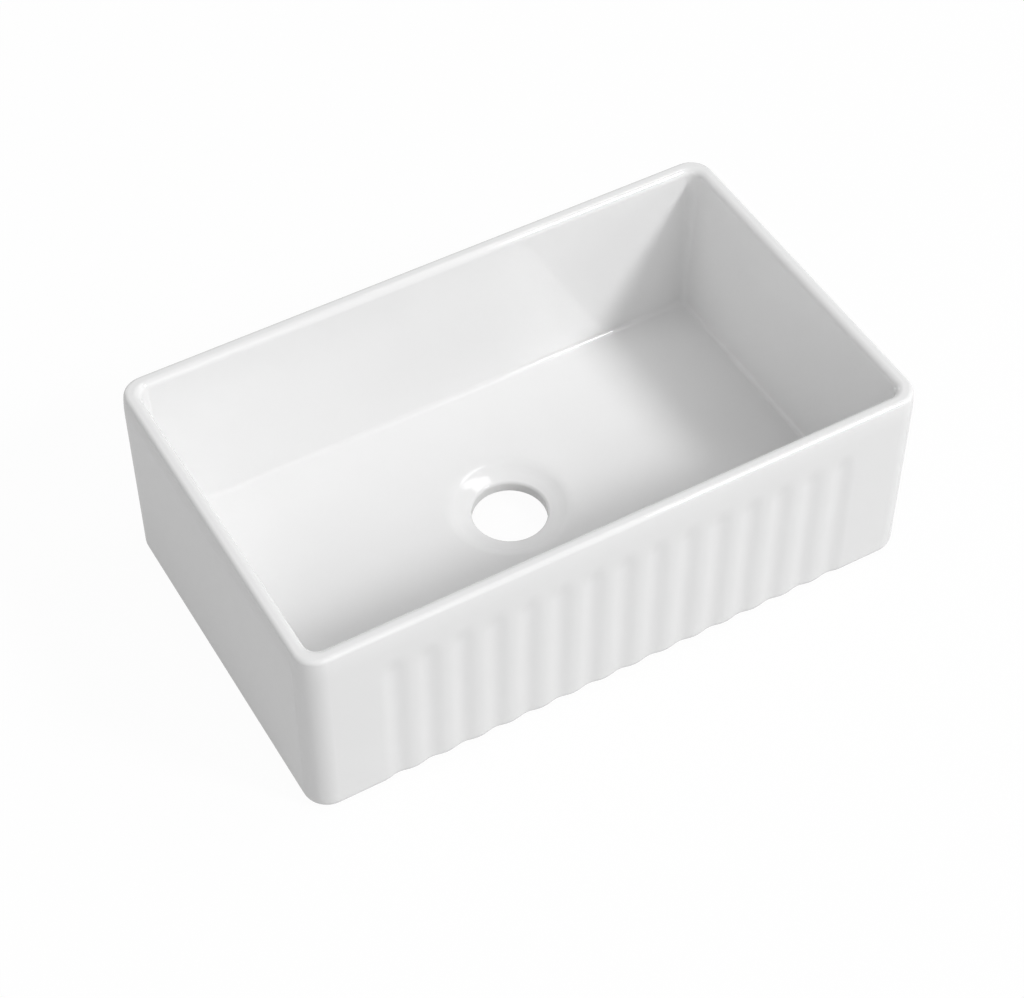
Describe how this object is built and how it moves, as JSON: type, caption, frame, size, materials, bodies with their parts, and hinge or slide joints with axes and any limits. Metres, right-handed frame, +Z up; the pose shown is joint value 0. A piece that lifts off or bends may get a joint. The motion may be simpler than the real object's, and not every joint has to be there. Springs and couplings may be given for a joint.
{
  "type": "fireclay single bowl sink",
  "caption": "Rectangular glazed fireclay sink with one deep bowl, a fluted apron front, a rounded rim and an open waste outlet seated in a shallow dish.",
  "frame": {"origin": "middle of the base, on the plane that the foot stands on", "axes": "+X along the apron front to the right, +Y from the apron to the back, +Z up out of the bowl"},
  "size_m": [0.762, 0.457, 0.254],
  "materials": {
    "fireclay": "matte",
    "glaze": "gloss"
  },
  "bodies": {
    "root": {"fireclay_body": "fireclay", "glaze_coat": "glaze"}
  },
  "joints": []
}
